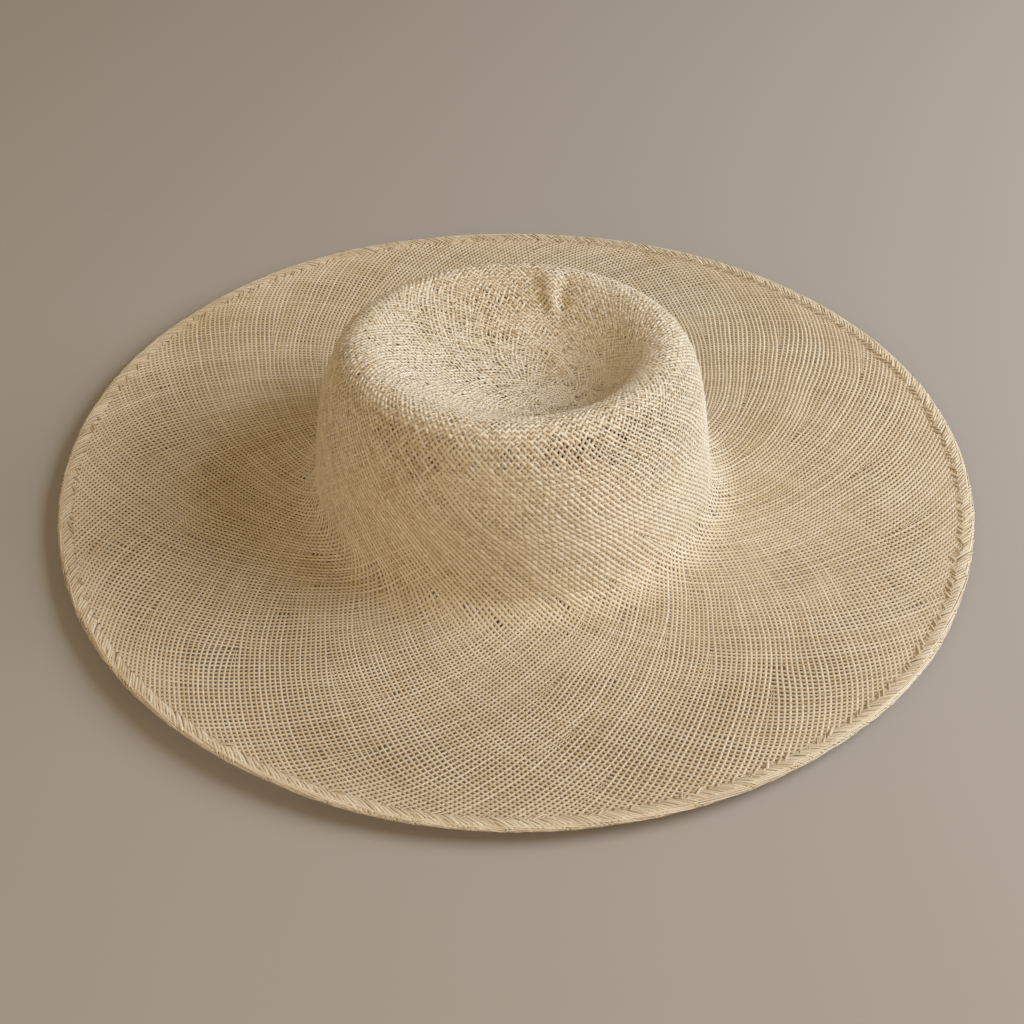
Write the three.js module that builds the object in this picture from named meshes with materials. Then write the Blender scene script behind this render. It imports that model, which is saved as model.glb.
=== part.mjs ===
import * as THREE from 'three';

// Wide-brimmed woven straw hat, in millimetres, +Z up.
// It stands on the underside of its brim at z = 0, and the brim is centred on the z axis.

// Driving sizes
const strawWall = 1.6;
const seamGap = 0.3;
const borderWidth = 6.4;
const borderThickness = 3.2;
const borderSides = 10;
const edgeMeanReach = 220;
const edgeMeanRise = 8.2;

// The hat's upper face as a stack of rings, from the middle of the dent out to the edge.
// radius: size of the ring; shiftX and shiftY: where its centre lies
// height: its mean height; tipX and tipY: how much it rises towards +X and +Y
const rings = [
  { name: 'dentCentre', radius: 0, shiftX: 19, shiftY: -7, height: 56.8, tipX: 0, tipY: 0 },
  { name: 'dentFloor', radius: 14, shiftX: 18, shiftY: -7, height: 57.8, tipX: -0.4, tipY: -0.2 },
  { name: 'dentSlopeLow', radius: 30, shiftX: 12, shiftY: -6, height: 63.6, tipX: -1.5, tipY: -1 },
  { name: 'dentSlopeHigh', radius: 46, shiftX: 4.5, shiftY: -3, height: 72.5, tipX: -0.9, tipY: -2.5 },
  { name: 'dentLip', radius: 59, shiftX: -0.2, shiftY: -1, height: 80.6, tipX: 0, tipY: -4.5 },
  { name: 'crest', radius: 70.6, shiftX: -0.8, shiftY: -0.4, height: 84.4, tipX: 0.2, tipY: -5.4 },
  { name: 'shoulder', radius: 79.8, shiftX: -1.4, shiftY: 0, height: 79.8, tipX: 0.2, tipY: -6.2 },
  { name: 'wallTop', radius: 85.4, shiftX: -1.2, shiftY: 0, height: 70, tipX: 0.6, tipY: -4 },
  { name: 'wallHigh', radius: 90, shiftX: -1.6, shiftY: 0, height: 55, tipX: 0, tipY: -1.5 },
  { name: 'wallMiddle', radius: 93, shiftX: -1.6, shiftY: 0, height: 37, tipX: 0, tipY: 0 },
  { name: 'wallLow', radius: 95, shiftX: -1.4, shiftY: 0, height: 20, tipX: 0, tipY: 0 },
  { name: 'wallFoot', radius: 97, shiftX: -1, shiftY: 0, height: 8, tipX: 0, tipY: 0 },
  { name: 'foot', radius: 104.5, shiftX: -0.4, shiftY: 0, height: 2.8, tipX: 0, tipY: 0 },
  { name: 'brimRestInner', radius: 116, shiftX: 0, shiftY: 0, height: 1.6, tipX: 0, tipY: 0 },
  { name: 'brimRestOuter', radius: 134, shiftX: 0, shiftY: 0, height: 1.5, tipX: 0, tipY: 0 },
  { name: 'brimMiddle', radius: 165, shiftX: 0, shiftY: 0, height: 3.8, tipX: 0, tipY: 0 },
  { name: 'brimOuter', radius: 194, shiftX: 0, shiftY: 0, height: 6.2, tipX: 0, tipY: 0 },
  { name: 'edge', radius: 220, shiftX: 0, shiftY: 0, height: 8.2, tipX: 0, tipY: 0 },
];

// The uneven edge, a row for each 20 degrees around, starting at +X and turning towards +Y.
// reach: distance of the edge from the axis; rise: height of its upper face
const edgeRows = [
  { at: 0, reach: 220.0, rise: 8.2 },
  { at: 20, reach: 221.3, rise: 8.6 },
  { at: 40, reach: 220.9, rise: 8.4 },
  { at: 60, reach: 220.2, rise: 7.8 },
  { at: 80, reach: 219.6, rise: 6.7 },
  { at: 100, reach: 219.6, rise: 6.9 },
  { at: 120, reach: 220.8, rise: 8.6 },
  { at: 140, reach: 221.4, rise: 9.0 },
  { at: 160, reach: 221.4, rise: 9.0 },
  { at: 180, reach: 219.9, rise: 8.2 },
  { at: 200, reach: 218.6, rise: 7.6 },
  { at: 220, reach: 219.0, rise: 8.4 },
  { at: 240, reach: 219.2, rise: 8.8 },
  { at: 260, reach: 220.0, rise: 7.7 },
  { at: 280, reach: 219.8, rise: 7.5 },
  { at: 300, reach: 219.8, rise: 8.0 },
  { at: 320, reach: 220.0, rise: 8.6 },
  { at: 340, reach: 218.6, rise: 8.4 },
];
const edgeStep = 20;

// One small tuck in the back slope of the dent: a ridge between two creases that run together downwards
const tuck = {
  at: 72,
  startRing: 2.6,
  endRing: 5.2,
  fadeIn: 0.9,
  fadeOut: 0.9,
  spread: 3.6,
  widening: 2,
  ridgeHeight: 1.2,
  leftCrease: 0.9,
  rightCrease: 0.6,
};

// Where the crown ends and the brim begins, counted along the rings
const headLine = 11.45;
const brimEnd = 16.665;

// Rows of the faceted shells, counted along the rings
const crownRows = [
  0.6, 1, 1.5, 2, 2.5, 3, 3.4, 3.8, 4.2, 4.6, 5, 5.35, 5.7, 6, 6.35, 6.8, 7.5, 8.5, 9.7, 10.7, headLine,
];
const brimRows = [0, 0.3, 0.8, 1.4, 1.75, 2.1, 2.4, 3.4, 4.4];
const coarseTurn = 5;
const fineTurn = 2.5;

function curveThrough(p0, p1, p2, p3, t) {
  const a = 2 * p1;
  const b = (p2 - p0) * t;
  const c = (2 * p0 - 5 * p1 + 4 * p2 - p3) * t * t;
  const d = (3 * p1 - p0 - 3 * p2 + p3) * t * t * t;
  return 0.5 * (a + b + c + d);
}

function smoothStep(x) {
  const t = Math.min(Math.max(x, 0), 1);
  return t * t * (3 - 2 * t);
}

function ringValue(column, along) {
  const last = rings.length - 1;
  const v = Math.min(Math.max(along, 0), last);
  const i = Math.min(Math.floor(v), last - 1);
  const pick = (k) => rings[Math.min(Math.max(k, 0), last)][column];
  return curveThrough(pick(i - 1), pick(i), pick(i + 1), pick(i + 2), v - i);
}

function edgeValue(column, turn) {
  const count = edgeRows.length;
  const place = (((turn % 360) + 360) % 360) / edgeStep;
  const i = Math.floor(place);
  const pick = (k) => edgeRows[(k + count) % count][column];
  return curveThrough(pick(i - 1), pick(i), pick(i + 1), pick(i + 2), place - i);
}

function tuckHeight(turn, along) {
  const rising = smoothStep((along - tuck.startRing) / tuck.fadeIn);
  const falling = smoothStep((tuck.endRing - along) / tuck.fadeOut);
  const away = ((turn - tuck.at + 540) % 360) - 180;
  const spread = tuck.spread + tuck.widening * Math.max(along - tuck.startRing, 0);
  const width = 0.62 * spread;
  const bump = (offset) => Math.exp(-(((away - offset) / width) ** 2));
  const ridge = tuck.ridgeHeight * bump(0);
  const leftCrease = tuck.leftCrease * bump(1.15 * spread);
  const rightCrease = tuck.rightCrease * bump(-1.15 * spread);
  return rising * falling * (ridge - leftCrease - rightCrease);
}

// A point of the hat's upper face: turn in degrees around the axis, along counted over the rings
function hatPoint(turn, along) {
  const angle = THREE.MathUtils.degToRad(turn);
  const cos = Math.cos(angle);
  const sin = Math.sin(angle);
  const last = rings.length - 1;
  const flare = smoothStep((along - 13) / (last - 13));
  const radius = ringValue('radius', along) + flare * (edgeValue('reach', turn) - edgeMeanReach);
  const rise = flare * (edgeValue('rise', turn) - edgeMeanRise);
  const x = ringValue('shiftX', along) + radius * cos;
  const y = ringValue('shiftY', along) + radius * sin;
  const tip = ringValue('tipX', along) * cos + ringValue('tipY', along) * sin;
  const z = ringValue('height', along) + tip + rise + tuckHeight(turn, along);
  return new THREE.Vector3(x, y, z);
}

// The direction that points out of the upper face
function hatNormal(turn, along) {
  const step = 0.02;
  const around = hatPoint(turn + 0.3, along).sub(hatPoint(turn - 0.3, along));
  const outward = hatPoint(turn, along + step).sub(hatPoint(turn, along - step));
  return outward.cross(around).normalize();
}

function underPoint(turn, along) {
  const point = hatPoint(turn, along).addScaledVector(hatNormal(turn, along), -strawWall);
  point.z = Math.max(point.z, 0);
  return point;
}

// Turns around the hat, closer together where the tuck lies
function turnsAround(from, to) {
  const turns = [];
  let turn = 0;
  while (turn < 360) {
    turns.push(turn);
    turn += turn >= from && turn < to ? fineTurn : coarseTurn;
  }
  return turns;
}

function solidFrom(points, triangles) {
  const geometry = new THREE.BufferGeometry();
  const flat = points.flatMap((p) => [p.x, p.y, p.z]);
  geometry.setAttribute('position', new THREE.Float32BufferAttribute(flat, 3));
  geometry.setIndex(triangles);
  geometry.computeVertexNormals();
  return geometry;
}

// Joins two neighbouring loops of points with a band of triangles
function bandBetween(triangles, first, second, count) {
  for (let j = 0; j < count; j += 1) {
    const k = (j + 1) % count;
    triangles.push(first + j, second + j, second + k);
    triangles.push(first + j, second + k, first + k);
  }
}

// The crown: an outer and an inner face, each closed by a fan in the middle of the dent
function crownShell() {
  const turns = turnsAround(50, 102.5);
  const count = turns.length;
  const points = [];
  const triangles = [];
  crownRows.forEach((row) => turns.forEach((turn) => points.push(hatPoint(turn, row))));
  const inner = points.length;
  crownRows.forEach((row) => turns.forEach((turn) => points.push(underPoint(turn, row))));
  const rows = crownRows.length;
  for (let i = 0; i < rows - 1; i += 1) {
    bandBetween(triangles, i * count, (i + 1) * count, count);
    bandBetween(triangles, inner + (i + 1) * count, inner + i * count, count);
  }
  bandBetween(triangles, (rows - 1) * count, inner + (rows - 1) * count, count);
  const topCentre = points.length;
  points.push(hatPoint(0, 0));
  points.push(hatPoint(0, 0).add(new THREE.Vector3(0, 0, -strawWall)));
  for (let j = 0; j < count; j += 1) {
    const k = (j + 1) % count;
    triangles.push(topCentre, j, k);
    triangles.push(topCentre + 1, inner + k, inner + j);
  }
  return solidFrom(points, triangles);
}

// Along value on the brim that lies a given distance further out than a starting value
function alongAfter(turn, from, distance) {
  let along = from;
  const start = hatPoint(turn, from);
  while (hatPoint(turn, along).distanceTo(start) < distance) {
    along += 0.002;
  }
  return along;
}

// The brim: a ring with an upper and a lower face, joined along both edges
function brimShell() {
  const turns = turnsAround(0, 0);
  const count = turns.length;
  const points = [];
  const triangles = [];
  const startAlong = turns.map((turn) => alongAfter(turn, headLine, seamGap));
  const rowAt = (row, j) => (row === 0 ? startAlong[j] : headLine + row);
  const rowsUsed = [...brimRows, brimEnd - headLine];
  rowsUsed.forEach((row) => turns.forEach((turn, j) => points.push(hatPoint(turn, rowAt(row, j)))));
  const under = points.length;
  rowsUsed.forEach((row) => turns.forEach((turn, j) => points.push(underPoint(turn, rowAt(row, j)))));
  const rows = rowsUsed.length;
  for (let i = 0; i < rows - 1; i += 1) {
    bandBetween(triangles, i * count, (i + 1) * count, count);
    bandBetween(triangles, under + (i + 1) * count, under + i * count, count);
  }
  bandBetween(triangles, (rows - 1) * count, under + (rows - 1) * count, count);
  bandBetween(triangles, under, 0, count);
  return solidFrom(points, triangles);
}

// The border: a rounded band that follows the uneven edge
function borderRing() {
  const turns = turnsAround(0, 0);
  const count = turns.length;
  const points = [];
  const triangles = [];
  for (let i = 0; i < borderSides; i += 1) {
    const around = (2 * Math.PI * i) / borderSides;
    turns.forEach((turn) => {
      const rim = hatPoint(turn, brimEnd);
      const lift = hatNormal(turn, brimEnd);
      const out = hatPoint(turn, brimEnd).sub(hatPoint(turn, brimEnd - 0.05)).normalize();
      const centre = rim.addScaledVector(lift, -strawWall / 2);
      centre.addScaledVector(out, seamGap + borderWidth / 2);
      const wide = Math.cos(around);
      const tall = Math.sin(around);
      const squareness = 1 / Math.max(Math.abs(wide) ** 2.6 + Math.abs(tall) ** 2.6, 0.001) ** (1 / 2.6);
      centre.addScaledVector(out, (wide * squareness * borderWidth) / 2);
      centre.addScaledVector(lift, (tall * squareness * borderThickness) / 2);
      points.push(centre);
    });
  }
  for (let i = 0; i < borderSides; i += 1) {
    bandBetween(triangles, ((i + 1) % borderSides) * count, i * count, count);
  }
  return solidFrom(points, triangles);
}

const strawMaterial = () => new THREE.MeshStandardMaterial({ color: 0xcdb488, roughness: 0.72, metalness: 0 });
const borderMaterial = () => new THREE.MeshStandardMaterial({ color: 0xd6c094, roughness: 0.68, metalness: 0 });

const capeline = new THREE.Group();
const crown = new THREE.Mesh(crownShell(), strawMaterial());
crown.name = 'crown';
const brim = new THREE.Mesh(brimShell(), strawMaterial());
brim.name = 'brim';
const edgeBraid = new THREE.Mesh(borderRing(), borderMaterial());
edgeBraid.name = 'edge_braid';
capeline.add(crown, brim, edgeBraid);

export default capeline;
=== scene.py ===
import math
import bpy
import numpy as np
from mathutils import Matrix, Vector


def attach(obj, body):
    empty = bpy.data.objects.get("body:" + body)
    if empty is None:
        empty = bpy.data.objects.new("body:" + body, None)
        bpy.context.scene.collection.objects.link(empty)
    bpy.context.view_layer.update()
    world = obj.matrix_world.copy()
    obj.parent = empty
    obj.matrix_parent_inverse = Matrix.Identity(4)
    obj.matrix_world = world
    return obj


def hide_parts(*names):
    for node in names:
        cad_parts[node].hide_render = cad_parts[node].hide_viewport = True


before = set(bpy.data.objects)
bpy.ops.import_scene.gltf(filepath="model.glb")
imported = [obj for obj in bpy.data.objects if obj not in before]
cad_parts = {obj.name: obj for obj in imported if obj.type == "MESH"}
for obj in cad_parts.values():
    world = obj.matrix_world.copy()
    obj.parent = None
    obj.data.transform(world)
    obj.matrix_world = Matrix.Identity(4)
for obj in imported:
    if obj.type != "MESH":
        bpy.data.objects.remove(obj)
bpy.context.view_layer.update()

# The hat's upper face in millimetres: the same rings, edge and tuck that the solids have.
# A place on it is a turn in degrees and a step along the rings, 0 in the dent and 17 at the edge.

rings = {  # radius, shiftX, shiftY, height, tipX, tipY
    "dentCentre": (0, 19, -7, 56.8, 0, 0),
    "dentFloor": (14, 18, -7, 57.8, -0.4, -0.2),
    "dentSlopeLow": (30, 12, -6, 63.6, -1.5, -1),
    "dentSlopeHigh": (46, 4.5, -3, 72.5, -0.9, -2.5),
    "dentLip": (59, -0.2, -1, 80.6, 0, -4.5),
    "crest": (70.6, -0.8, -0.4, 84.4, 0.2, -5.4),
    "shoulder": (79.8, -1.4, 0, 79.8, 0.2, -6.2),
    "wallTop": (85.4, -1.2, 0, 70, 0.6, -4),
    "wallHigh": (90, -1.6, 0, 55, 0, -1.5),
    "wallMiddle": (93, -1.6, 0, 37, 0, 0),
    "wallLow": (95, -1.4, 0, 20, 0, 0),
    "wallFoot": (97, -1, 0, 8, 0, 0),
    "foot": (104.5, -0.4, 0, 2.8, 0, 0),
    "brimRestInner": (116, 0, 0, 1.6, 0, 0),
    "brimRestOuter": (134, 0, 0, 1.5, 0, 0),
    "brimMiddle": (165, 0, 0, 3.8, 0, 0),
    "brimOuter": (194, 0, 0, 6.2, 0, 0),
    "edge": (220, 0, 0, 8.2, 0, 0),
}
edgeRows = (  # reach of the edge from the axis and rise of its upper face, for each edgeStep
    (220.0, 8.2), (221.3, 8.6), (220.9, 8.4), (220.2, 7.8), (219.6, 6.7), (219.6, 6.9),
    (220.8, 8.6), (221.4, 9.0), (221.4, 9.0), (219.9, 8.2), (218.6, 7.6), (219.0, 8.4),
    (219.2, 8.8), (220.0, 7.7), (219.8, 7.5), (219.8, 8.0), (220.0, 8.6), (218.6, 8.4),
)
hatShape = {  # millimetres, degrees of turn and steps along the rings
    "edgeStep": 20,
    "edgeMeanReach": 220.0,
    "edgeMeanRise": 8.2,
    "flareStart": 13,  # the ring from which the brim follows the edge's reach and rise
    "headLine": 11.45,
    "brimEnd": 16.665,
    "weaveDepth": 0.62,  # middle of the weave below the upper face
    "tuckAt": 72.0,
    "tuckStart": 2.6,
    "tuckEnd": 5.2,
    "tuckFade": 0.9,
    "tuckSpread": 3.6,
    "tuckWidening": 2.0,
    "tuckWidth": 0.62,  # of the ridge and of each crease, as a share of the spread
    "tuckRidge": 1.2,
    "creaseAway": 1.15,  # from the ridge to each crease, as a share of the spread
    "leftCrease": 0.9,
    "rightCrease": 0.6,
    "turnNear": 0.3,  # how far off the places are from which a slope is taken
    "alongNear": 0.02,
}
ringTable = np.array(list(rings.values()), float)
edgeTable = np.array(edgeRows, float)
perMetre = 1000  # millimetres
notZero = {"length": 1e-12, "turn": 1e-15, "span": 1e-6}  # keep a division from a zero


def curveThrough(table, place, closed):
    count = len(table)
    i = np.floor(place).astype(int)
    if not closed:
        i = np.clip(i, 0, count - 2)
    t = (place - i)[..., None]

    def pick(k):
        return table[k % count] if closed else table[np.clip(k, 0, count - 1)]

    p0, p1, p2, p3 = pick(i - 1), pick(i), pick(i + 1), pick(i + 2)
    square = 2 * p0 - 5 * p1 + 4 * p2 - p3
    cube = 3 * p1 - p0 - 3 * p2 + p3
    return 0.5 * (2 * p1 + (p2 - p0) * t + square * t**2 + cube * t**3)


def smoothStep(x):
    t = np.clip(x, 0, 1)
    return t * t * (3 - 2 * t)


def degreesAway(turn, other):
    return (turn - other + 540) % 360 - 180


def tuckHeight(turn, along):
    shape = hatShape
    rising = smoothStep((along - shape["tuckStart"]) / shape["tuckFade"])
    falling = smoothStep((shape["tuckEnd"] - along) / shape["tuckFade"])
    away = degreesAway(turn, shape["tuckAt"])
    spread = shape["tuckSpread"] + shape["tuckWidening"] * np.maximum(along - shape["tuckStart"], 0)

    def bump(offset):
        return np.exp(-(((away - offset) / (shape["tuckWidth"] * spread)) ** 2))

    left = shape["leftCrease"] * bump(shape["creaseAway"] * spread)
    right = shape["rightCrease"] * bump(-shape["creaseAway"] * spread)
    return rising * falling * (shape["tuckRidge"] * bump(0) - (left + right))


def hatPoint(turn, along):
    turn, along = np.broadcast_arrays(np.asarray(turn, float), np.asarray(along, float))
    cos, sin = np.cos(np.radians(turn)), np.sin(np.radians(turn))
    row = curveThrough(ringTable, along, False)
    radius, shiftX, shiftY, height, tipX, tipY = np.moveaxis(row, -1, 0)
    edge = curveThrough(edgeTable, (turn % 360) / hatShape["edgeStep"], True)
    reach, rise = np.moveaxis(edge, -1, 0)
    start = hatShape["flareStart"]
    flare = smoothStep((along - start) / (len(ringTable) - 1 - start))
    radius = radius + flare * (reach - hatShape["edgeMeanReach"])
    height = height + flare * (rise - hatShape["edgeMeanRise"]) + tipX * cos + tipY * sin
    x, y = shiftX + radius * cos, shiftY + radius * sin
    return np.stack([x, y, height + tuckHeight(turn, along)], -1)


def aroundStep(turn, along):
    near = hatShape["turnNear"]
    return hatPoint(turn + near, along) - hatPoint(turn - near, along)


def hatFrame(turn, along):
    near = hatShape["alongNear"]
    outward = hatPoint(turn, along + near) - hatPoint(turn, along - near)
    lift = np.cross(outward, aroundStep(turn, along))
    lift /= np.linalg.norm(lift, axis=-1, keepdims=True) + notZero["length"]
    outward /= np.linalg.norm(outward, axis=-1, keepdims=True) + notZero["length"]
    return lift, outward


# The lay of the strands: two families that spiral out in opposite directions.
# Where the hat widens, strands are added two by two, so that the over-and-under goes on.

strandPlan = {
    "startAlong": 0.5,
    "rows": 1500,  # steps in which a strand is followed
    "lay": (  # along, millimetres from strand to strand, lean from the radial line in degrees
        (0, 1.45, 45), (3, 1.7, 45), (5, 1.85, 45), (7, 1.95, 46), (10.5, 2.03, 46),
        (12.5, 2.0, 42), (13.6, 2.02, 40.5), (14.5, 2.12, 43), (15.3, 2.2, 46.5), (16, 2.18, 50),
        (17, 2.2, 53),
    ),
    "fewest": 6,  # strands at the start
    "growLength": (6.0, 0.16, 32.0),  # millimetres to a new pair's full share: least, gain, most
    "seenFrom": 0.33,  # part of that length after which the pair shows
    "goldenStep": 0.6180339887,  # spreads the places where pairs are added
    "wander": (  # along, how far single strands wander, in shares of their spacing
        (0, 0.2), (4, 0.2), (7, 0.1), (11, 0.06), (13, 0.035), (17, 0.03),
    ),
    "wanderWaves": ((46.0, 0.5), (21.0, 0.35), (9.5, 0.25), (5.3, 0.2)),  # millimetres, share
    "bunching": 0.02,  # shift, in shares of the spacing, for a bunch of bunchSize strands
    "bunchSize": 12,
    "bunchWaves": (  # millimetres, strands to a bunch, share
        (70.0, 7.3, 0.55), (43.0, 12.1, 0.4), (95.0, 23.0, 0.4), (31.0, 5.2, 0.55),
    ),
    "seed": 7,
}
alongLay, pitchLay, leanLay = zip(*strandPlan["lay"])
longAgo = -100.0  # millimetres along a strand, well before the first row
fullTurn = 2 * np.pi


def profileRows():
    along = np.linspace(strandPlan["startAlong"], hatShape["brimEnd"], strandPlan["rows"])
    rows = curveThrough(ringTable, along, False)
    radius, height = rows[:, 0], rows[:, 3]
    lean = np.radians(np.interp(along, alongLay, leanLay))
    step = np.hypot(np.diff(radius), np.diff(height))
    length = np.concatenate([[0], np.cumsum(step)])
    turning = np.tan(lean) / radius
    twist = np.concatenate([[0], np.cumsum(step * 0.5 * (turning[1:] + turning[:-1]))])
    return along, radius, lean, length, twist


alongRows, radiusRows, leanRows, lengthRows, twistRows = profileRows()
pitchRows = np.interp(alongRows, alongLay, pitchLay)
steps = np.arange(len(alongRows))


def strandBirths(rng):
    wanted = fullTurn * radiusRows * np.cos(leanRows) / pitchRows
    wanted = np.maximum.accumulate(wanted)
    least, gain, most = strandPlan["growLength"]
    first = max(strandPlan["fewest"], 2 * int(round(wanted[0] / 2)))
    births, grows = [longAgo] * first, [least] * first
    golden = rng.random()
    while len(births) + 2 <= wanted[-1]:
        at = np.searchsorted(wanted, len(births) + 1.0)
        golden = (golden + strandPlan["goldenStep"]) % 1
        place = int(round(golden * len(births)))
        birth = lengthRows[min(at, len(lengthRows) - 1)]
        grow = min(least + gain * birth, most)
        births[place:place] = [birth - grow / 2] * 2
        grows[place:place] = [grow] * 2
    return np.array(births), np.array(grows)


def familyRows(seed):
    rng = np.random.default_rng(seed)
    births, grows = strandBirths(rng)
    count = len(births)
    share = smoothStep((lengthRows[None] - births[:, None]) / grows[:, None])
    total = share.sum(0)
    place = (np.cumsum(share, 0) - share / 2) / total
    spacing = 1 / total
    # slow wandering of single strands, and neighbours drawn together in places
    single = np.interp(alongRows, *zip(*strandPlan["wander"]))
    drift = np.zeros_like(share)
    for wave, part in strandPlan["wanderWaves"]:
        phase = rng.random((count, 1)) * fullTurn
        drift += single * part * np.sin(fullTurn * lengthRows / wave + phase)
    order = np.cumsum(share, 0)
    for wave, near, part in strandPlan["bunchWaves"]:
        phase = rng.random() * fullTurn
        sign = 1 if rng.random() < 0.5 else -1
        swing = np.sin(fullTurn * (order / near + sign * lengthRows / wave) + phase)
        drift += strandPlan["bunching"] * near / strandPlan["bunchSize"] * swing * part
    turn = fullTurn * (place + drift * spacing * np.minimum(share, 1) + rng.random())
    wide = share * spacing * fullTurn * radiusRows * np.cos(leanRows)
    return births + strandPlan["seenFrom"] * grows, turn, wide


def crossings(seenA, turnA, seenB, turnB):
    countB = len(seenB)
    inB = turnA + 2 * twistRows[None]
    index = np.empty_like(inB)
    for t in range(inB.shape[1]):
        marks = turnB[:, t]
        base = marks[0]
        lap = np.floor((inB[:, t] - base) / fullTurn)
        local = inB[:, t] - lap * fullTurn
        marksLoop = np.maximum.accumulate(np.append(marks, base + fullTurn))
        index[:, t] = np.interp(local, marksLoop, np.arange(countB + 1)) + lap * countB
    low = np.floor(np.maximum.accumulate(index, 1)).astype(int)
    jumps = np.diff(low, axis=1)
    found = []
    for nth in range(1, jumps.max() + 1):
        i, t = np.nonzero(jumps >= nth)
        k = low[i, t] + nth
        lap, kk = np.floor_divide(k, countB), k % countB
        before = inB[i, t] - turnB[kk, t] - lap * fullTurn
        after = inB[i, t + 1] - turnB[kk, t + 1] - lap * fullTurn
        part = np.clip(before / (before - after + notZero["turn"]), 0, 1)
        found.append(np.stack([i, kk, t + part], 1))
    found = np.concatenate(found)
    i, k, t = found[:, 0].astype(int), found[:, 1].astype(int), found[:, 2]
    length = np.interp(t, steps, lengthRows)
    alive = (length > seenA[i]) & (length > seenB[k])
    return i[alive], k[alive], t[alive]


seenA, turnA, wideA = familyRows(strandPlan["seed"])
seenB, turnB, wideB = familyRows(strandPlan["seed"] + 1)
crossA, crossB, crossAt = crossings(seenA, turnA, seenB, turnB)
families = {
    "right": {"sign": 1, "mine": crossA, "other": crossB, "turn": turnA, "wide": wideA},
    "left": {"sign": -1, "mine": crossB, "other": crossA, "turn": turnB, "wide": wideB},
}
print("strands", len(seenA), len(seenB), "crossings", len(crossAt))


# Node trees

def newGroup(name, kind, inputs, outputs):
    group = bpy.data.node_groups.new(name, kind)
    for label, socketType, value in inputs:
        socket = group.interface.new_socket(label, in_out="INPUT", socket_type=socketType)
        if value is not None:
            socket.default_value = value
    for label, socketType in outputs:
        group.interface.new_socket(label, in_out="OUTPUT", socket_type=socketType)
    return group, group.nodes.new("NodeGroupInput"), group.nodes.new("NodeGroupOutput")


def addNode(tree, kind, inputs=None, **settings):
    node = tree.nodes.new(kind)
    for key, value in settings.items():
        setattr(node, key, value)
    for key, value in (inputs or {}).items():
        if isinstance(value, bpy.types.NodeSocket):
            tree.links.new(value, node.inputs[key])
        else:
            node.inputs[key].default_value = value
    return node


# Straw: colour with painted shade at the strands' sides, roughness and fine relief

weaveLook = {
    "Pale": (0.86, 0.77, 0.635, 1),
    "Middle": (0.75, 0.64, 0.475, 1),
    "Brown": (0.50, 0.37, 0.20, 1),
    "PaintedShade": (0.30, 0.18, 0.07, 1),  # painted shade, mixed in at the sides of each strand
    "Streaks": 1.3,
    "Roughness Base": 0.5,
    "bump": 0.4,
    "shine": 0.5,
    "sheen": 0.2,
}
borderStrawLook = {**weaveLook, "Pale": (0.88, 0.79, 0.65, 1), "Middle": (0.77, 0.66, 0.49, 1)}
fibreInputs = {
    "Pale": "NodeSocketColor",
    "Middle": "NodeSocketColor",
    "Brown": "NodeSocketColor",
    "PaintedShade": "NodeSocketColor",
    "Streaks": "NodeSocketFloat",
    "Roughness Base": "NodeSocketFloat",
}
fibrePlan = {  # scales are along a strand, then across it; shares say how much of each layer shows
    "fineScale": (60, 2600, 1),
    "fineDetail": 2.0,
    "fineRoughness": 0.6,
    "fineShare": 0.35,
    "slowScale": (32, 420, 1),
    "slowDetail": 1.0,
    "slowShare": 0.55,
    "cloudScale": 26.0,
    "cloudDetail": 2.0,
    "cloudShare": 0.35,
    "paleToMiddle": (0.55, 1.15),
    "middleToBrown": (1.15, 1.75),
    "sidePower": 2.0,
    "roughnessChange": 0.25,
    "bumpDistance": 0.0001,
}


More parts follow.
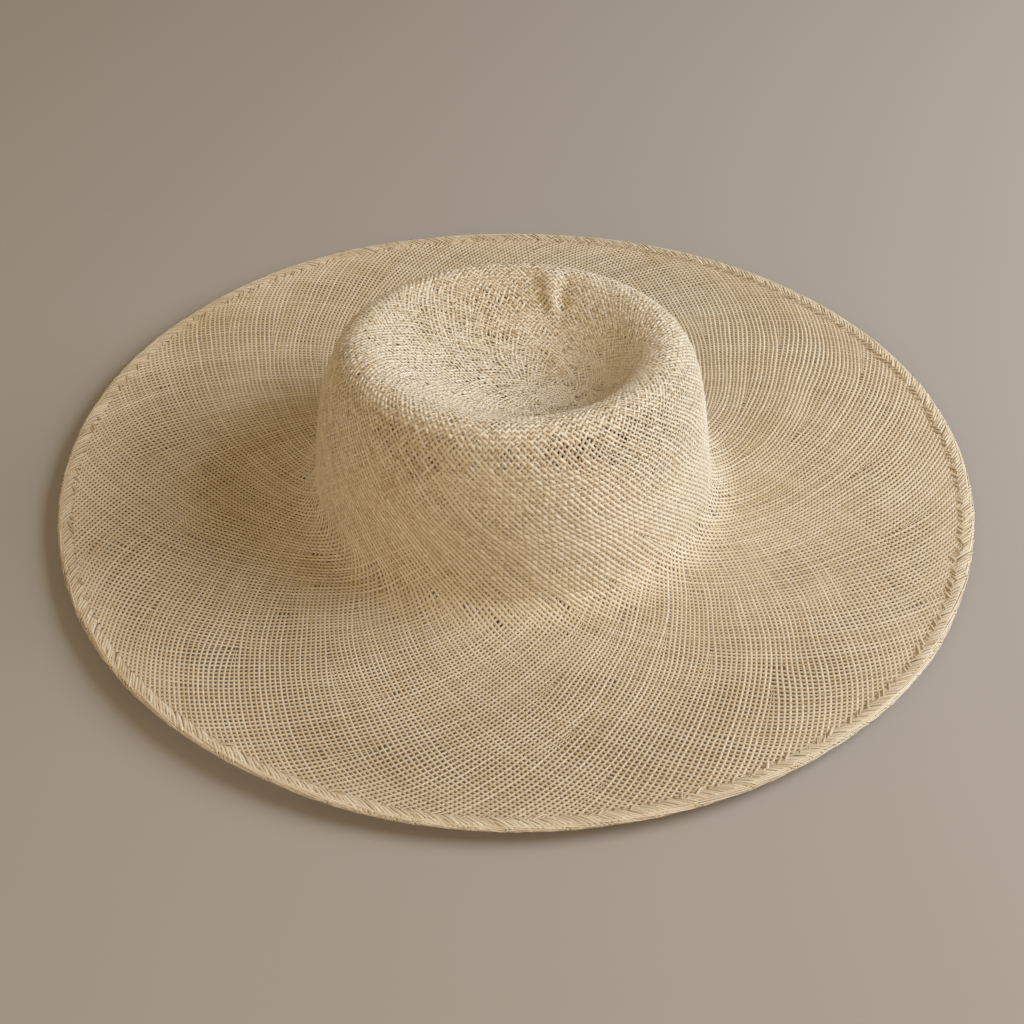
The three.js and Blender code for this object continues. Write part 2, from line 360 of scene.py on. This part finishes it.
def strawGroup():
    plan = fibrePlan
    inputs = [(label, kind, weaveLook[label]) for label, kind in fibreInputs.items()]
    outputs = (
        ("Color", "NodeSocketColor"),
        ("Roughness", "NodeSocketFloat"),
        ("Height", "NodeSocketFloat"),
    )
    group, ins, outs = newGroup("strawFibre", "ShaderNodeTree", inputs, outputs)

    def attribute(label, output):
        return addNode(group, "ShaderNodeAttribute", attribute_name=label).outputs[output]

    def calculate(operation, *values, clamp=False):
        sockets = dict(enumerate(values))
        node = addNode(group, "ShaderNodeMath", sockets, operation=operation, use_clamp=clamp)
        return node.outputs[0]

    def stretched(place, scale):
        sockets = {"Vector": place, "Scale": scale}
        return addNode(group, "ShaderNodeMapping", sockets, vector_type="POINT").outputs[0]

    def noise(place, scale, detail, roughness=0.5):
        sockets = {"Vector": place, "Scale": scale, "Detail": detail, "Roughness": roughness}
        return addNode(group, "ShaderNodeTexNoise", sockets).outputs["Fac"]

    def partOf(value, limits):
        sockets = {"Value": value, "From Min": limits[0], "From Max": limits[1]}
        return addNode(group, "ShaderNodeMapRange", sockets).outputs[0]

    def blend(factor, first, second):
        sockets = {0: factor, 6: first, 7: second}
        return addNode(group, "ShaderNodeMix", sockets, data_type="RGBA").outputs[2]

    lay = attribute("lay", "Vector")
    place = addNode(group, "ShaderNodeTexCoord").outputs["Object"]
    fine = noise(stretched(lay, plan["fineScale"]), 1.0, plan["fineDetail"], plan["fineRoughness"])
    slow = noise(stretched(lay, plan["slowScale"]), 1.0, plan["slowDetail"])
    cloudy = noise(place, plan["cloudScale"], plan["cloudDetail"])
    streak = calculate("MULTIPLY", fine, ins.outputs["Streaks"])
    tone = calculate("MULTIPLY_ADD", slow, plan["slowShare"], attribute("tone", "Fac"))
    tone = calculate("MULTIPLY_ADD", cloudy, plan["cloudShare"], tone)
    tone = calculate("MULTIPLY_ADD", streak, plan["fineShare"], tone)
    colour = blend(partOf(tone, plan["paleToMiddle"]), ins.outputs["Pale"], ins.outputs["Middle"])
    colour = blend(partOf(tone, plan["middleToBrown"]), colour, ins.outputs["Brown"])
    # painted shade: a dark straw colour mixed in towards each strand's sides, as strongly as the
    # side-shade attribute says
    side = calculate("POWER", attribute("side", "Fac"), plan["sidePower"])
    shade = calculate("MULTIPLY", side, attribute("paintedSideShade", "Fac"), clamp=True)
    colour = blend(shade, colour, ins.outputs["PaintedShade"])
    base = ins.outputs["Roughness Base"]
    rough = calculate("MULTIPLY_ADD", fine, plan["roughnessChange"], base)
    group.links.new(colour, outs.inputs["Color"])
    group.links.new(rough, outs.inputs["Roughness"])
    group.links.new(fine, outs.inputs["Height"])
    return group


strawFibre = strawGroup()


def strawMaterial(name, look):
    material = bpy.data.materials.new(name)
    material.use_nodes = True
    tree = material.node_tree
    shader = tree.nodes["Principled BSDF"]
    values = {label: look[label] for label in fibreInputs}
    fibre = addNode(tree, "ShaderNodeGroup", values, node_tree=strawFibre)
    bump = addNode(tree, "ShaderNodeBump", {
        "Height": fibre.outputs["Height"],
        "Strength": look["bump"],
        "Distance": fibrePlan["bumpDistance"],
    })
    tree.links.new(fibre.outputs["Color"], shader.inputs["Base Color"])
    tree.links.new(fibre.outputs["Roughness"], shader.inputs["Roughness"])
    tree.links.new(bump.outputs["Normal"], shader.inputs["Normal"])
    shader.inputs["Specular IOR Level"].default_value = look["shine"]
    shader.inputs["Sheen Weight"].default_value = look["sheen"]
    material.diffuse_color = look["Middle"]
    return material


weaveStraw = strawMaterial("weaveStraw", weaveLook)
borderStraw = strawMaterial("borderStraw", borderStrawLook)


# Strands: each path runs from crossing to crossing, and a node tree lifts, lowers and fills it out.
# Rows of a table of places: turn, along, how far it spreads in turn and along, and an amount.

strandLook = {
    "Sides": 4,
    "Rise": 0.0001,  # metres, for a rise of 1
    "flatness": {"crown": (0.31, 0.27), "brim": (0.56, 0.52)},  # of the right lay and the left lay
    "byPlace": {  # how far strands rise and sink, how uneven they are, the painted shade at their sides, their tone
        "along": (0, 6, 8, 11, 12.5, 17),
        "rise": (1.5, 1.4, 1.0, 0.8, 0.6, 0.5),
        "uneven": (0.2, 0.18, 0.13, 0.09, 0.035, 0.03),
        "sideShade": (0.40, 0.42, 0.40, 0.38, 0.32, 0.32),
        "tone": (0.06, 0.0, -0.04, 0.0, 0.16, 0.2),
    },
    "cover": (  # along, width of a strand as a share of its spacing
        (0, 0.98), (3.5, 0.97), (5, 0.95), (6, 0.95), (7, 0.96), (8, 0.97), (10.5, 0.96),
        (11.5, 0.88), (12.5, 0.78), (13.5, 0.73), (15, 0.71), (16.3, 0.71), (16.67, 0.76),
    ),
    "coverChange": 0.02,
    "coverWaves": ((3, 1.7, 0), (5, -2.3, 1), (11, 3.1, 2), (17, -4.7, 0)),  # by turn, by along, phase
    "openPlaces": (  # less cover
        (308, 6.6, 30, 1.1, 0.27), (250, 15.3, 52, 2.6, 0.12), (35, 15.2, 75, 2.8, -0.06),
        (236, 8.2, 46, 2.0, -0.1), (196, 9.2, 34, 2.4, 0.09), (348, 2.7, 60, 1.4, 0.08),
    ),
    "ridgePlaces": (  # the right lay stands out in ridges
        (270, 9.4, 52, 2.4, 1.0), (8, 15.2, 42, 2.6, 0.45),
    ),
    "ridge": {
        "lift": 0.65,
        # in the ridges: more painted shade at the strands' sides, and the left lay painted browner and
        # made narrower between the right lay's ridges
        "rightSides": 0.18,
        "leftSides": 0.16,
        "leftPaintedShade": 0.2,
        "leftNarrower": 0.07,
    },
    "bumpyPlaces": ((348, 9.0, 42, 2.6, 0.6),),  # more rise
    "sideShadeCutPlaces": (  # less painted shade at the strands' sides, more where the amount is below zero
        (236, 8.2, 46, 1.8, 0.16), (348, 2.7, 62, 1.4, -0.7), (190, 8.6, 30, 2.6, -0.6),
        (262, 15.2, 45, 2.6, -0.2), (352, 9.0, 40, 2.2, 0.1), (60, 15.2, 50, 2.6, 0.13),
    ),
    "paintedLightAndShadePlaces": (  # painted light and shade, added to the tone: browner in shaded places such as the left wall and the brim in the crown's shadow, paler on the lit left slope of the dent and on the right wall, and paler to lighten the dent's shaded right slope
        (243, 15.2, 50, 2.6, 0.12), (205, 3.2, 50, 1.6, -0.4), (285, 2.4, 50, 1.4, 0.4),
        (5, 8.6, 52, 2.3, -0.28), (20, 13.4, 40, 1.4, 0.16), (90, 3.6, 50, 1.2, 0.12),
        (205, 8.0, 45, 3.2, 0.16), (145, 15.0, 45, 2.8, 0.14), (356, 2.8, 46, 1.3, -0.5),
    ),
    "tuckLightAndShade": 0.4,  # painted shade in the tuck's creases and a painted highlight on its ridge
    "middleTone": 0.5,
    "toneChange": 0.085,  # from strand to strand
    "toneLimit": 1.7,
    "widthChange": 0.045,
    "unevenRise": 3,  # times the unevenness of the width
    "unevenTone": 1.2,
    "leastSideShade": 0.04,
    "spacingLimits": (0.45, 3.2),  # millimetres
    "stretchLimits": (0.8, 1.7),
    "seeds": {"right": 21, "left": 22},
}


def placesAt(rows, turn, along):
    total = np.zeros(len(turn))
    for atTurn, atAlong, turnSpread, alongSpread, amount in rows:
        inTurn = degreesAway(turn, atTurn) / turnSpread
        inAlong = (along - atAlong) / alongSpread
        total += amount * np.exp(-(inTurn ** 2) - inAlong ** 2)
    return total


def coverAt(turn, along):
    cover = np.interp(along, *zip(*strandLook["cover"]))
    a = np.radians(turn)
    slow = sum(np.sin(n * a + m * along + phase) for n, m, phase in strandLook["coverWaves"])
    cover = cover + strandLook["coverChange"] * slow / 2
    return cover - placesAt(strandLook["openPlaces"], turn, along)


def sweepTree(name):
    group, ins, outs = newGroup(name, "GeometryNodeTree", (
        ("Paths", "NodeSocketGeometry", None),
        ("Sides", "NodeSocketInt", strandLook["Sides"]),
        ("Rise", "NodeSocketFloat", strandLook["Rise"]),
        ("Flatness", "NodeSocketFloat", 0.3),
        ("Material", "NodeSocketMaterial", None),
    ), (("Strands", "NodeSocketGeometry"),))

    def add(kind, sockets=None, output=0, **settings):
        return addNode(group, kind, sockets, **settings).outputs[output]

    def named(label, kind):
        return add("GeometryNodeInputNamedAttribute", {"Name": label}, data_type=kind)

    def stored(geometry, label, value):
        sockets = {"Geometry": geometry, "Name": label, "Value": value}
        return add("GeometryNodeStoreNamedAttribute", sockets, data_type="FLOAT", domain="POINT")

    # the path, lifted where the strand goes over and lowered where it goes under
    lift = named("lift", "FLOAT_VECTOR")
    over = add("ShaderNodeMath", {0: named("over", "FLOAT"), 1: ins.outputs["Rise"]}, operation="MULTIPLY")
    offset = add("ShaderNodeVectorMath", {"Vector": lift, "Scale": over}, operation="SCALE")
    moved = add("GeometryNodeSetPosition", {"Geometry": ins.outputs["Paths"], "Offset": offset})
    curve = add("GeometryNodeMeshToCurve", {"Mesh": moved})
    facing = add("GeometryNodeSetCurveNormal", {"Curve": curve, "Normal": lift}, mode="FREE")
    # the strand's section, a flattened ring that keeps how far round and how far aside each point is
    ring = add("GeometryNodeCurvePrimitiveCircle", {"Resolution": ins.outputs["Sides"], "Radius": 0.5})
    ring = stored(ring, "around", add("GeometryNodeInputIndex"))
    aside = add("ShaderNodeSeparateXYZ", {0: add("GeometryNodeInputPosition")}, "Y")
    ring = stored(ring, "side", add("ShaderNodeMath", {0: aside}, operation="ABSOLUTE"))
    squash = add("ShaderNodeCombineXYZ", {"X": ins.outputs["Flatness"], "Y": 1.0, "Z": 1.0})
    section = add("GeometryNodeTransform", {"Geometry": ring, "Scale": squash})
    tube = add("GeometryNodeCurveToMesh", {
        "Curve": facing,
        "Profile Curve": section,
        "Scale": named("size", "FLOAT"),
        "Fill Caps": True,
    })
    smooth = add("GeometryNodeSetShadeSmooth", {"Geometry": tube})
    real = add("GeometryNodeRealizeInstances", {"Geometry": smooth})
    painted = add("GeometryNodeSetMaterial", {"Geometry": real, "Material": ins.outputs["Material"]})
    group.links.new(painted, outs.inputs["Strands"])
    return group


def pathObject(name, points, edges, values):
    mesh = bpy.data.meshes.new(name)
    mesh.from_pydata((points / perMetre).tolist(), edges.tolist(), [])
    for label, data in values.items():
        kind, field = ("FLOAT_VECTOR", "vector") if data.ndim == 2 else ("FLOAT", "value")
        layer = mesh.attributes.new(label, kind, "POINT")
        layer.data.foreach_set(field, np.ascontiguousarray(data, dtype=np.float32).ravel())
    piece = bpy.data.objects.new(name, mesh)
    bpy.context.scene.collection.objects.link(piece)
    return piece


def grown(piece, tree, inputs):
    modifier = piece.modifiers.new("grow", "NODES")
    modifier.node_group = tree
    for item in tree.interface.items_tree:
        if item.in_out == "INPUT" and item.name in inputs:
            modifier[item.identifier] = inputs[item.name]
    graph = bpy.context.evaluated_depsgraph_get()
    mesh = bpy.data.meshes.new_from_object(
        piece.evaluated_get(graph), preserve_all_data_layers=True, depsgraph=graph)
    piece.modifiers.clear()
    old = piece.data
    piece.data = mesh
    bpy.data.meshes.remove(old)
    mesh.name = piece.name
    return piece


def turnOutward(mesh):
    points = np.empty(len(mesh.vertices) * 3, np.float32)
    mesh.vertices.foreach_get("co", points)
    mesh.calc_loop_triangles()
    corners = np.empty(len(mesh.loop_triangles) * 3, np.int32)
    mesh.loop_triangles.foreach_get("vertices", corners)
    p = points.reshape(-1, 3)[corners.reshape(-1, 3)].astype(float)
    volume = np.einsum("ij,ij->i", p[:, 0], np.cross(p[:, 1], p[:, 2])).sum() / 6
    if volume < 0:
        mesh.flip_normals()
    print(mesh.name, "triangles", len(p), "volume mm3", round(abs(volume) * perMetre**3))


mapPlan = {
    "strandStep": 7.0,  # millimetres from strand to strand in the straw's map
    "girth": 4.0,  # millimetres round a strand in the straw's map
    "endsFree": (0.002, 0.996),  # where a strand starts in the bake map, and its length there
    "sidesFree": (0.04, 0.92),  # the same round the strand, in a row of its own
}


def getFloat(mesh, label):
    values = np.empty(len(mesh.vertices), np.float32)
    mesh.attributes[label].data.foreach_get("value", values)
    return values


def addMap(mesh, name, u, v):
    layer = mesh.uv_layers.new(name=name)
    layer.data.foreach_set("uv", np.stack([u, v], 1).astype(np.float32).ravel())


def layMaps(mesh, sides):
    corner = np.empty(len(mesh.loops), np.int32)
    mesh.loops.foreach_get("vertex_index", corner)
    labels = ("around", "reach", "strand", "part")
    turn, reach, strand, part = (getFloat(mesh, label)[corner] for label in labels)
    starts = np.empty(len(mesh.polygons), np.int32)
    mesh.polygons.foreach_get("loop_start", starts)
    span = np.maximum.reduceat(turn, starts) - np.minimum.reduceat(turn, starts)
    wraps = np.repeat(span > sides / 2, np.diff(np.append(starts, len(corner))))
    turn = np.where(wraps & (turn == 0), sides, turn) / sides
    across = strand * mapPlan["strandStep"] + turn * mapPlan["girth"]
    addMap(mesh, "lay", reach / perMetre, across / perMetre)
    endStart, endLength = mapPlan["endsFree"]
    sideStart, sideLength = mapPlan["sidesFree"]
    rows = strand.max() + 1
    addMap(mesh, "OFBake", endStart + endLength * part, (strand + sideStart + sideLength * turn) / rows)


sweep = sweepTree("strandSweep")


def wovenPiece(name, node, points, lengths, values, flatness, straw=weaveStraw):
    lengths = np.array(lengths)
    starts = np.cumsum(lengths) - lengths
    joined = np.ones(len(points), bool)
    joined[starts + lengths - 1] = False
    first = np.nonzero(joined)[0]
    gap = np.zeros(len(points))
    gap[1:] = np.linalg.norm(np.diff(points, axis=0), axis=1) * joined[:-1]
    total = np.cumsum(gap)
    local = total - np.repeat(total[starts], lengths)
    span = np.repeat(total[starts + lengths - 1] - total[starts], lengths)
    piece = pathObject(name, points, np.stack([first, first + 1], 1), {
        "lift": values["lift"],
        "over": values["over"],
        "size": values["size"] / perMetre,
        "reach": local,
        "part": local / np.maximum(span, notZero["span"]),
        "strand": np.repeat(np.arange(len(lengths)), lengths).astype(float),
        "tone": values["tone"],
        "paintedSideShade": 2 * values["paintedSideShade"],
    })
    grown(piece, sweep, {
        "Sides": strandLook["Sides"],
        "Rise": strandLook["Rise"],
        "Flatness": flatness,
        "Material": straw,
    })
    turnOutward(piece.data)
    layMaps(piece.data, strandLook["Sides"])
    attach(piece, "root")
    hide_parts(node)
    return piece


def strandStops(family, region, only):
    headStep = np.interp(hatShape["headLine"], alongRows, steps)
    order = np.lexsort((crossAt, family["mine"]))
    ids, at = family["mine"][order], crossAt[order]
    even = (family["mine"] + family["other"])[order] % 2 == 0
    over = np.where(even, 1.0, -1.0) * family["sign"]
    count = len(family["turn"])
    strandIds, times, overs = [], [], []
    for strand in range(int(only[0] * count), int(only[1] * count)):
        mine = ids == strand
        when, side = np.append(at[mine], steps[-1]), np.append(over[mine], 0)
        cut = min(np.searchsorted(when, headStep), len(when) - 1)
        kept = slice(None, cut + 1) if region == "crown" else slice(cut, None)
        when, side = when[kept], side[kept]
        if len(when) < 2:
            continue
        strandIds.append(np.full(len(when), strand))
        times.append(when)
        overs.append(side)
    lengths = [len(x) for x in times]
    return [np.concatenate(x) for x in (strandIds, times, overs)] + [lengths]


def strandPiece(name, region, lay, only):
    look, family = strandLook, families[lay]
    byPlace, ridge = look["byPlace"], look["ridge"]
    sign, count = family["sign"], len(family["turn"])
    rng = np.random.default_rng(look["seeds"][lay])
    width = 1 + look["widthChange"] * rng.standard_normal(count)
    tones = np.clip(rng.standard_normal(count), -look["toneLimit"], look["toneLimit"])
    tones = look["middleTone"] + look["toneChange"] * tones
    strandId, time, side, lengths = strandStops(family, region, only)
    low = np.clip(np.floor(time).astype(int), 0, len(steps) - 2)
    part = time - low

    def rowsAt(rows):
        return rows[strandId, low] * (1 - part) + rows[strandId, low + 1] * part

    def changed(key):
        return np.interp(along, byPlace["along"], byPlace[key])

    def amount(key):
        return placesAt(look[key], turn, along)

    turn = np.degrees(rowsAt(family["turn"]) + sign * np.interp(time, steps, twistRows))
    along = np.interp(time, steps, alongRows)
    lift, _ = hatFrame(turn, along)
    points = hatPoint(turn, along) - hatShape["weaveDepth"] * lift
    across = np.linalg.norm(aroundStep(turn, along), axis=-1)
    level = np.radians(2 * hatShape["turnNear"]) * np.interp(along, alongRows, radiusRows)
    stretch = np.clip(across / level, *look["stretchLimits"])
    ridges = amount("ridgePlaces")
    left = ridges * (sign < 0)
    chance = rng.standard_normal((3, len(along))) * changed("uneven")
    size = np.clip(rowsAt(family["wide"]), *look["spacingLimits"]) * stretch * width[strandId]
    size = size * (coverAt(turn, along) - ridge["leftNarrower"] * left) * (1 + chance[0])
    rise = changed("rise") + amount("bumpyPlaces")
    over = side * rise * (1 + look["unevenRise"] * chance[1]) + sign * ridge["lift"] * ridges
    tone = changed("tone") + tones[strandId] + look["unevenTone"] * chance[2]
    # painted light and shade: the left lay browner in the ridges, the listed places browner or paler, the
    # tuck's creases browner and its ridge paler
    tone = tone + ridge["leftPaintedShade"] * left
    tone = tone + amount("paintedLightAndShadePlaces") - look["tuckLightAndShade"] * tuckHeight(turn, along)
    # painted shade at the strands' sides, more in the ridges, less or more in the listed places
    paintedSideShade = changed("sideShade") + ridge["leftSides" if sign < 0 else "rightSides"] * ridges
    paintedSideShade = np.maximum(paintedSideShade - amount("sideShadeCutPlaces"), look["leastSideShade"])
    values = {"lift": lift, "over": over, "size": size, "tone": tone, "paintedSideShade": paintedSideShade}
    flatness = look["flatness"][region][0 if sign > 0 else 1]
    return wovenPiece(name, region, points, lengths, values, flatness)


# The square start of the weave in the middle of the dent; its ends lie under the first spiral strands

startLook = {  # millimetres
    "reach": 9.0,
    "pitch": 1.42,
    "width": 1.34,
    "flatness": 0.3,
    "turned": 33.0,  # degrees
    "endsDown": -2.6,  # in the measure of Rise
    "endGap": 0.4,  # from the last crossing to the end at least, as a share of the pitch
    "unevenPlace": 0.12,
    "lastRing": 2,  # the start lies inside this ring
    "ringRows": 200,
    "leastAlong": 0.03,
    "seed": 5,
}


def startPiece():
    look = startLook
    rng = np.random.default_rng(look["seed"])
    centreRings = np.linspace(0, look["lastRing"], look["ringRows"])
    centreRadius = curveThrough(ringTable, centreRings, False)[:, 0]
    pitch, reach = look["pitch"], look["reach"]
    rows = np.arange(-int(reach / pitch), int(reach / pitch) + 1)
    turns, alongs, overs, tones, lengths = [], [], [], [], []
    for family in (0, 1):
        angle = math.radians(look["turned"] + 90 * family)
        for row in rows:
            half = math.sqrt(max(reach**2 - (row * pitch) ** 2, 0))
            inner = rows[np.abs(rows * pitch) < half - look["endGap"] * pitch]
            if len(inner) < 2:
                continue
            s = np.concatenate([[-half], inner * pitch, [half]])
            side = np.where((inner + row) % 2 == 0, 1.0, -1.0) * (1 - 2 * family)
            across = row * pitch + look["unevenPlace"] * rng.standard_normal()
            x = s * math.cos(angle) - across * math.sin(angle)
            y = s * math.sin(angle) + across * math.cos(angle)
            tone = strandLook["middleTone"] + strandLook["toneChange"] * rng.standard_normal()
            turns.append(np.degrees(np.arctan2(y, x)))
            alongs.append(np.interp(np.hypot(x, y), centreRadius, centreRings))
            overs.append(np.concatenate([[look["endsDown"]], side, [look["endsDown"]]]))
            tones.append(np.full(len(s), tone))
            lengths.append(len(s))
    turn, along, over, tone = (np.concatenate(x) for x in (turns, alongs, overs, tones))
    lift, _ = hatFrame(turn, np.maximum(along, look["leastAlong"]))
    points = hatPoint(turn, along) - hatShape["weaveDepth"] * lift
    size = np.full(len(points), look["width"])
    # painted shade at the strands' sides, as in the middle of the dent
    paintedSideShade = np.full(len(points), strandLook["byPlace"]["sideShade"][0])
    values = {"lift": lift, "over": over, "size": size, "tone": tone, "paintedSideShade": paintedSideShade}
    return wovenPiece("crown_square_start", "crown", points, lengths, values, look["flatness"])


startPiece()
for region, ending, only in (("crown", "", (0, 1)), ("brim", "_1", (0, 0.5)), ("brim", "_2", (0.5, 1))):
    for lay in families:
        strandPiece(f"{region}_strands_{lay}_lay{ending}", region, lay, only)
    print(region + ending, "woven")


# Border: strand ends wound slantwise round a core, short ties that cross them on the inner side,
# and long strands along the outer edge

borderLook = {
    "coreAway": 3.4,  # from the end of the weave to the middle of the border
    "coreDown": 0.8,
    "core": {"width": 5.2, "flatness": 0.42, "tone": 0.8, "sides": 10},
    "lumps": 0.03,
    "lumpWaves": ((29, 0), (47, 1), (83, 2)),  # to a turn, phase
    "narrowerPlaces": ((210, 0, 85, 1, 0.18),),  # share off the inner side
    # painted shade: the border browner on its left side, away from the light
    "paintedLightAndShadePlaces": ((165, 0, 70, 1, 0.25),),
    "startShare": 0.3,  # part of a strand's section that lies before its turn
    "widthChange": 0.05,
    "unevenRise": 0.6,  # in the measure of Rise
    "sideShade": 0.22,
    "toneChange": 0.1,
    "looseTurn": 0.5,  # degrees, then millimetres and a share of the width, each times the looseness
    "looseAcross": 3,
    "looseWidth": 1.2,
    "wraps": {
        "leftOut": (),
        "count": 620, "advance": 20.0, "width": 1.7, "flatness": 0.28, "looseness": 0.06,
        "tone": 0.62, "seed": 31,
        "section": (  # across, up
            (-4.4, 0.10), (-3.5, 0.50), (-2.3, 0.95), (-0.8, 1.20), (0.8, 1.14), (2.0, 0.80),
            (2.7, 0.05), (2.2, -0.75), (0.8, -1.15), (-0.8, -1.25), (-2.3, -1.00),
            (-3.5, -0.55), (-4.4, -0.20),
        ),
    },
    "ties": {
        "leftOut": ((215, 0, 100, 1, 0.92),),  # share of the ties
        "count": 520, "advance": -4.2, "width": 1.2, "flatness": 0.28, "looseness": 0.2,
        "tone": 0.86, "seed": 32,
        "section": ((-5.3, 0.20), (-4.5, 0.60), (-3.5, 0.94), (-2.5, 1.14), (-1.6, 1.00)),
    },
    "roll": {
        "leftOut": (),
        "count": 130, "advance": 86.0, "width": 1.0, "flatness": 0.42, "looseness": 0.03,
        "tone": 0.5, "seed": 33,
        "section": (
            (0.3, 0.95), (1.1, 1.10), (1.8, 0.98), (2.35, 0.68), (2.72, 0.30), (2.88, -0.15),
            (2.70, -0.60), (2.2, -0.95), (1.4, -1.10), (0.6, -1.00),
        ),
    },
}


def edgeFrame(turn):
    along = np.full(len(turn), hatShape["brimEnd"])
    lift, outward = hatFrame(turn, along)
    middle = hatPoint(turn, along) - borderLook["coreDown"] * lift + borderLook["coreAway"] * outward
    return middle, lift, outward


def corePiece():
    look = borderLook["core"]
    points, lift, _ = edgeFrame(np.arange(0, 360, 1.0))
    count = len(points)
    edges = np.stack([np.arange(count), np.roll(np.arange(count), -1)], 1)
    piece = pathObject("border_core", points, edges, {
        "lift": lift,
        "over": np.zeros(count),
        "size": np.full(count, look["width"] / perMetre),
        "tone": np.full(count, look["tone"]),
    })
    grown(piece, sweep, {
        "Sides": look["sides"],
        "Rise": 0.0,
        "Flatness": look["flatness"],
        "Material": borderStraw,
    })
    turnOutward(piece.data)
    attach(piece, "root")
    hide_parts("edge_braid")


def borderPiece(name, part):
    look = borderLook
    rng = np.random.default_rng(part["seed"])
    count, loose = part["count"], part["looseness"]
    section = np.array(part["section"])
    share = np.concatenate([[0], np.cumsum(np.hypot(*np.diff(section, axis=0).T))])
    share /= share[-1]
    ahead = np.gradient(section, axis=0)
    facing = np.stack([-ahead[:, 1], ahead[:, 0]], 1)
    facing /= np.linalg.norm(facing, axis=1, keepdims=True)
    chance = rng.standard_normal((count, 5, 1))
    turn = np.arange(count)[:, None] * 360 / count + look["looseTurn"] * loose * chance[:, 0]
    kept = rng.random(count) > placesAt(part["leftOut"], turn[:, 0], np.zeros(count))
    turn, chance, count = turn[kept], chance[kept], kept.sum()
    advance = part["advance"] * (1 + loose * chance[:, 1]) * (share - look["startShare"])[None]
    turn = turn + advance / math.radians(hatShape["edgeMeanReach"])
    flat, shape = turn.ravel(), turn.shape
    a = np.radians(turn)
    lumps = 1 + look["lumps"] * sum(np.sin(n * a + phase) for n, phase in look["lumpWaves"]) / 2
    points, lift, outward = edgeFrame(flat)
    inside = np.where(section[:, 0] < 0, 1, 0)
    inside = inside * placesAt(look["narrowerPlaces"], flat, 0).reshape(shape)
    across = section[None, :, 0] * lumps * (1 - inside) + look["looseAcross"] * loose * chance[:, 2]
    up = section[None, :, 1] * lumps
    points = points + across.ravel()[:, None] * outward + up.ravel()[:, None] * lift
    face = np.tile(facing, (count, 1))
    lift = face[:, :1] * outward + face[:, 1:] * lift
    total = len(points)
    widths = np.broadcast_to(1 + look["looseWidth"] * loose * chance[:, 3], shape).ravel()
    size = part["width"] * widths * (1 + look["widthChange"] * rng.standard_normal(total))
    tone = np.broadcast_to(part["tone"] + look["toneChange"] * chance[:, 4], shape).ravel()
    # painted shade on the border's left side
    tone = tone + placesAt(look["paintedLightAndShadePlaces"], flat, 0)
    over = look["unevenRise"] * rng.standard_normal(total)
    # painted shade at the sides of the border's strands
    paintedSideShade = np.full(total, look["sideShade"])
    values = {"lift": lift, "over": over, "size": size, "tone": tone, "paintedSideShade": paintedSideShade}
    return wovenPiece(name, "edge_braid", points, [len(section)] * count, values,
                      part["flatness"], borderStraw)


corePiece()
for part in ("wraps", "ties", "roll"):
    borderPiece("border_" + part, borderLook[part])
print("border wound")


# Floor, light and camera

floorPlan = {"reach": 6, "colour": (0.405, 0.36, 0.325, 1), "roughness": 0.9}
far = floorPlan["reach"]
floorMesh = bpy.data.meshes.new("floor")
floorCorners = [(-far, -far, 0), (far, -far, 0), (far, far, 0), (-far, far, 0)]
floorMesh.from_pydata(floorCorners, [], [(0, 1, 2, 3)])
floor = bpy.data.objects.new("floor", floorMesh)
bpy.context.scene.collection.objects.link(floor)
floorMaterial = bpy.data.materials.new("paleFloor")
floorMaterial.use_nodes = True
floorShader = floorMaterial.node_tree.nodes["Principled BSDF"]
floorShader.inputs["Base Color"].default_value = floorPlan["colour"]
floorShader.inputs["Roughness"].default_value = floorPlan["roughness"]
floorMesh.materials.append(floorMaterial)

lightsAimAt = Vector((0, 0, 0.03))
lights = {
    "keyRight": {"at": (1.5, 0.08, 1.0), "size": 1.15, "power": 37.5, "colour": (0.85, 0.92, 1.0)},
    "fillFront": {"at": (-0.6, -1.8, 1.1), "size": 1.6, "power": 16.5, "colour": (1.0, 0.83, 0.62)},
}
for name, light in lights.items():
    data = bpy.data.lights.new(name, "AREA")
    data.size = light["size"]
    data.energy = light["power"]
    data.color = light["colour"]
    lamp = bpy.data.objects.new(name, data)
    lamp.location = light["at"]
    lamp.rotation_euler = (lightsAimAt - Vector(light["at"])).to_track_quat("-Z", "Y").to_euler()
    bpy.context.scene.collection.objects.link(lamp)

roomLight = {"colour": (1.0, 0.76, 0.42, 1), "strength": 0.27}
world = bpy.data.worlds.new("room")
world.use_nodes = True
background = world.node_tree.nodes["Background"]
background.inputs["Color"].default_value = roomLight["colour"]
background.inputs["Strength"].default_value = roomLight["strength"]
bpy.context.scene.world = world
bpy.context.scene.view_settings.view_transform = "Standard"

cameraPlan = {
    "at": (-0.00177, -0.6035, 0.5039),
    "pitch": 41.04,  # degrees down
    "lens": 56.25,
    "sensor": 36,
    "nearest": 0.01,
}
cameraData = bpy.data.cameras.new("camera")
cameraData.sensor_width = cameraPlan["sensor"]
cameraData.lens = cameraPlan["lens"]
cameraData.clip_start = cameraPlan["nearest"]
camera = bpy.data.objects.new("camera", cameraData)
camera.location = cameraPlan["at"]
camera.rotation_euler = (math.radians(90 - cameraPlan["pitch"]), 0, 0)
bpy.context.scene.collection.objects.link(camera)
bpy.context.scene.camera = camera
